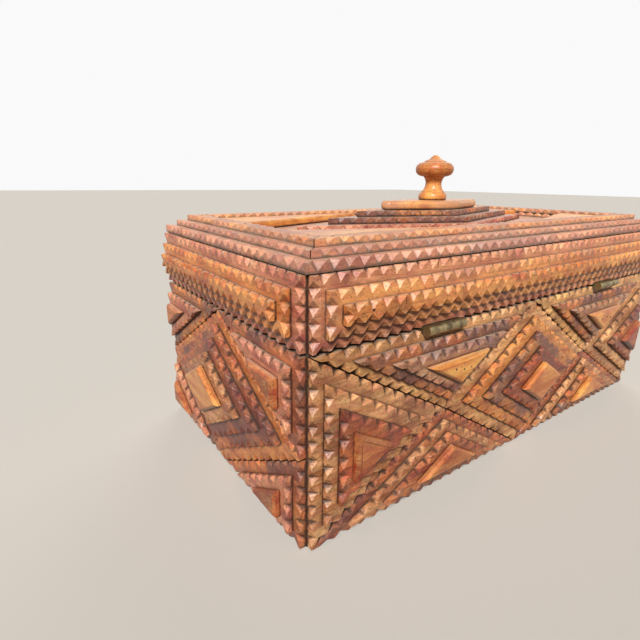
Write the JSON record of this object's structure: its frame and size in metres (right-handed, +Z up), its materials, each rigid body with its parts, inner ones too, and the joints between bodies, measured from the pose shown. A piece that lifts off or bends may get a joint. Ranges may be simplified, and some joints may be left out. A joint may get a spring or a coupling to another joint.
{
  "type": "tramp art box",
  "caption": "Rectangular wooden keepsake box clad in stacked, notch-carved layers, with a hinged lid and a turned knob.",
  "frame": {"origin": "middle of the underside of the bottom board, on the surface that the box stands on", "axes": "+X along the length, +Y towards the hinged back, +Z up"},
  "size_m": [0.3144, 0.1754, 0.1579],
  "materials": {
    "plain_wood": "bare wood, oiled with age",
    "tan_wood": "thin stained cigar-box wood, worn satin",
    "red_wood": "dark red-stained wood, worn satin",
    "honey_wood": "honey-coloured wood, varnished",
    "plum_wood": "dark plum-stained wood, worn satin",
    "grey_wood": "grey-brown wood, dry and worn",
    "orange_wood": "thin stained cigar-box wood, worn satin",
    "rose_wood": "reddish cedar, worn satin",
    "dull_steel": "dull steel",
    "aged_brass": "tarnished brass"
  },
  "bodies": {
    "box": {"bottom_board": "plain_wood", "front_wall": "plain_wood", "back_wall": "plain_wood", "left_wall": "plain_wood", "right_wall": "plain_wood", "end_triangle_layer_1": "tan_wood", "end_triangle_layer_2": "tan_wood", "end_triangle_layer_3": "red_wood", "end_triangle_block": "honey_wood", "top_triangle_layer_1": "tan_wood", "top_triangle_layer_2": "plum_wood", "top_triangle_layer_3": "grey_wood", "top_triangle_block": "honey_wood", "base_triangle_layer_1": "plum_wood", "base_triangle_layer_2": "tan_wood", "base_triangle_layer_3": "plum_wood", "base_triangle_block": "honey_wood", "rhombus_layer_1": "tan_wood", "rhombus_layer_2": "orange_wood", "rhombus_layer_3": "plum_wood", "rhombus_layer_4": "red_wood", "rhombus_block": "honey_wood", "diamond_layer_1": "orange_wood", "diamond_layer_2": "plum_wood", "diamond_layer_3": "red_wood", "diamond_layer_4": "tan_wood", "diamond_block": "honey_wood", "corner_triangle_layer_1": "plum_wood", "corner_triangle_layer_2": "rose_wood", "corner_triangle_block": "orange_wood", "hinge_lower_leaves": "aged_brass", "hinge_pins": "aged_brass", "lower_leaf_screws": "aged_brass"},
    "lid": {"lid_board": "rose_wood", "lid_front_rail": "plain_wood", "lid_back_rail": "plain_wood", "lid_left_rail": "plain_wood", "lid_right_rail": "plain_wood", "long_skirt_layer_1": "rose_wood", "long_skirt_layer_2": "orange_wood", "long_skirt_layer_3": "orange_wood", "end_skirt_layer_1": "rose_wood", "end_skirt_layer_2": "orange_wood", "end_skirt_layer_3": "orange_wood", "lower_frame": "rose_wood", "upper_frame": "orange_wood", "recess_blocks": "honey_wood", "lid_rhombus_layer_1": "rose_wood", "lid_rhombus_layer_2": "plum_wood", "lid_rhombus_layer_3": "plum_wood", "knob_plaque": "honey_wood", "knob": "honey_wood", "knob_screw": "dull_steel", "hinge_upper_leaves": "aged_brass", "upper_leaf_screws": "aged_brass"}
  },
  "joints": [
    {"name": "lid_hinge", "type": "hinge", "parent": "box", "child": "lid", "pos_m": [0, 0.0782, 0.0845], "axis": [-1, 0, 0], "range_deg": [0, 140]}
  ]
}
